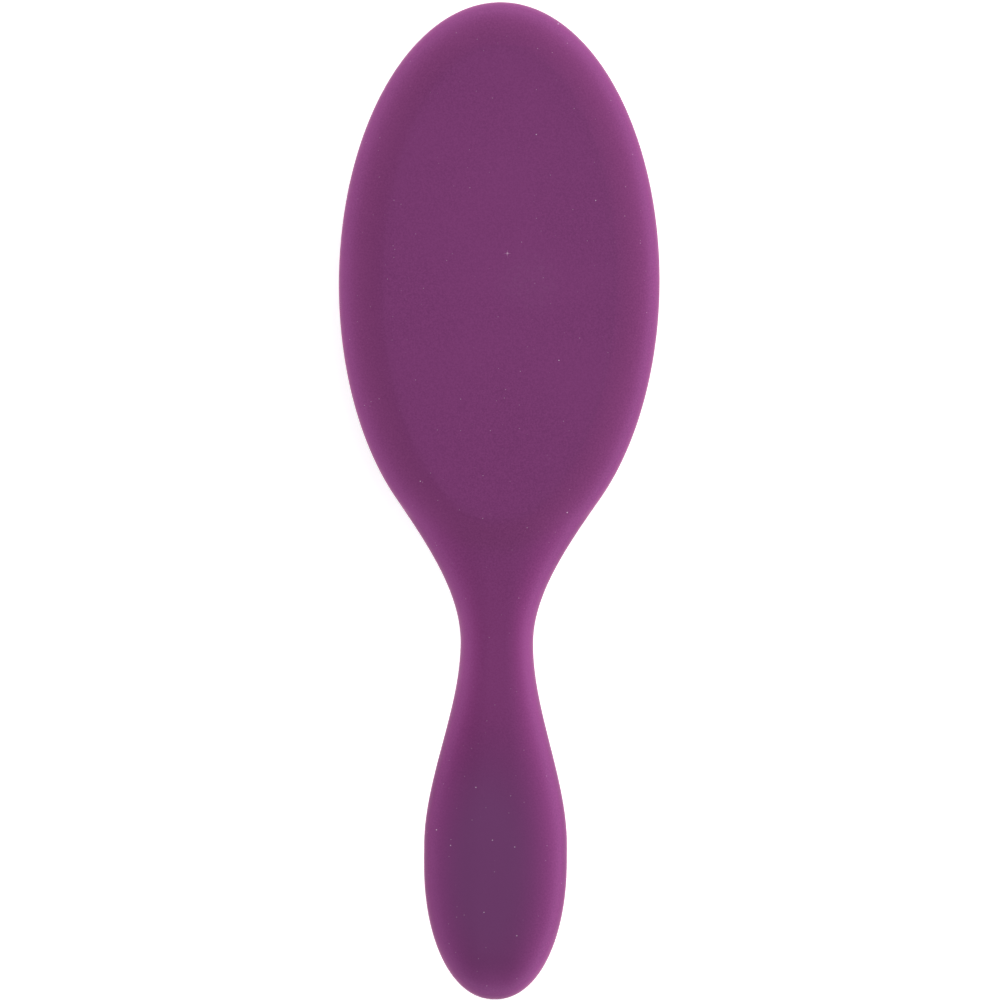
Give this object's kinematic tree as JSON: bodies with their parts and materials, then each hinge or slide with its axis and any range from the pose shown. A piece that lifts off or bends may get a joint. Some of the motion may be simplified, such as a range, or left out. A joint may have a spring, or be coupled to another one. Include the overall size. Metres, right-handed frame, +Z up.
{
  "type": "detangling brush",
  "caption": "Oval cushion brush for detangling hair: a smooth two-shell casing with a waisted handle, a rubber cushion and rows of ball-tipped nylon pins.",
  "frame": {"origin": "on the surface under the pins' ball tips, at the middle of the brush's length and width", "axes": "+X across the head, +Y from the handle's end to the head's end, +Z up out of the back"},
  "size_m": [0.0724, 0.225, 0.036],
  "materials": {
    "casing": "plum soft-touch rubberised coat over moulded plastic",
    "retainer": "uncoated moulded plastic",
    "cushion": "dark plum matte rubber",
    "pins": "plum nylon with darker dipped ball tips"
  },
  "bodies": {
    "casing": {"back_shell": "casing", "front_shell": "casing", "cushion_retainer": "retainer"},
    "cushion_bed": {"cushion": "cushion"},
    "row_01": {"pin_row_01": "pins"},
    "row_02": {"pin_row_02": "pins"},
    "row_03": {"pin_row_03": "pins"},
    "row_04": {"pin_row_04": "pins"},
    "row_05": {"pin_row_05": "pins"},
    "row_06": {"pin_row_06": "pins"},
    "row_07": {"pin_row_07": "pins"},
    "row_08": {"pin_row_08": "pins"},
    "row_09": {"pin_row_09": "pins"},
    "row_10": {"pin_row_10": "pins"},
    "row_11": {"pin_row_11": "pins"},
    "row_12": {"pin_row_12": "pins"},
    "row_13": {"pin_row_13": "pins"},
    "row_14": {"pin_row_14": "pins"},
    "row_15": {"pin_row_15": "pins"}
  },
  "joints": [
    {"name": "cushion_press", "type": "slide", "parent": "casing", "child": "cushion_bed", "axis": [0, 0, 1], "range_m": [0, 0.003], "stiffness_N_per_m": 3000, "deforming": ["cushion"]},
    {"name": "row_tilt_01", "type": "hinge", "parent": "cushion_bed", "child": "row_01", "pos_m": [-0.0238, 0.0493, 0.0178], "axis": [0, 1, 0], "range_deg": [-12, 12], "stiffness_Nm_per_rad": 0.2},
    {"name": "row_tilt_02", "type": "hinge", "parent": "cushion_bed", "child": "row_02", "pos_m": [-0.0204, 0.0493, 0.0178], "axis": [0, 1, 0], "range_deg": [-12, 12], "stiffness_Nm_per_rad": 0.2},
    {"name": "row_tilt_03", "type": "hinge", "parent": "cushion_bed", "child": "row_03", "pos_m": [-0.017, 0.0493, 0.0178], "axis": [0, 1, 0], "range_deg": [-12, 12], "stiffness_Nm_per_rad": 0.2},
    {"name": "row_tilt_04", "type": "hinge", "parent": "cushion_bed", "child": "row_04", "pos_m": [-0.0136, 0.0493, 0.0178], "axis": [0, 1, 0], "range_deg": [-12, 12], "stiffness_Nm_per_rad": 0.2},
    {"name": "row_tilt_05", "type": "hinge", "parent": "cushion_bed", "child": "row_05", "pos_m": [-0.0102, 0.0493, 0.0178], "axis": [0, 1, 0], "range_deg": [-12, 12], "stiffness_Nm_per_rad": 0.2},
    {"name": "row_tilt_06", "type": "hinge", "parent": "cushion_bed", "child": "row_06", "pos_m": [-0.0068, 0.0493, 0.0178], "axis": [0, 1, 0], "range_deg": [-12, 12], "stiffness_Nm_per_rad": 0.2},
    {"name": "row_tilt_07", "type": "hinge", "parent": "cushion_bed", "child": "row_07", "pos_m": [-0.0034, 0.0493, 0.0178], "axis": [0, 1, 0], "range_deg": [-12, 12], "stiffness_Nm_per_rad": 0.2},
    {"name": "row_tilt_08", "type": "hinge", "parent": "cushion_bed", "child": "row_08", "pos_m": [0, 0.0493, 0.0178], "axis": [0, 1, 0], "range_deg": [-12, 12], "stiffness_Nm_per_rad": 0.2},
    {"name": "row_tilt_09", "type": "hinge", "parent": "cushion_bed", "child": "row_09", "pos_m": [0.0034, 0.0493, 0.0178], "axis": [0, 1, 0], "range_deg": [-12, 12], "stiffness_Nm_per_rad": 0.2},
    {"name": "row_tilt_10", "type": "hinge", "parent": "cushion_bed", "child": "row_10", "pos_m": [0.0068, 0.0493, 0.0178], "axis": [0, 1, 0], "range_deg": [-12, 12], "stiffness_Nm_per_rad": 0.2},
    {"name": "row_tilt_11", "type": "hinge", "parent": "cushion_bed", "child": "row_11", "pos_m": [0.0102, 0.0493, 0.0178], "axis": [0, 1, 0], "range_deg": [-12, 12], "stiffness_Nm_per_rad": 0.2},
    {"name": "row_tilt_12", "type": "hinge", "parent": "cushion_bed", "child": "row_12", "pos_m": [0.0136, 0.0493, 0.0178], "axis": [0, 1, 0], "range_deg": [-12, 12], "stiffness_Nm_per_rad": 0.2},
    {"name": "row_tilt_13", "type": "hinge", "parent": "cushion_bed", "child": "row_13", "pos_m": [0.017, 0.0493, 0.0178], "axis": [0, 1, 0], "range_deg": [-12, 12], "stiffness_Nm_per_rad": 0.2},
    {"name": "row_tilt_14", "type": "hinge", "parent": "cushion_bed", "child": "row_14", "pos_m": [0.0204, 0.0493, 0.0178], "axis": [0, 1, 0], "range_deg": [-12, 12], "stiffness_Nm_per_rad": 0.2},
    {"name": "row_tilt_15", "type": "hinge", "parent": "cushion_bed", "child": "row_15", "pos_m": [0.0238, 0.0493, 0.0178], "axis": [0, 1, 0], "range_deg": [-12, 12], "stiffness_Nm_per_rad": 0.2}
  ]
}
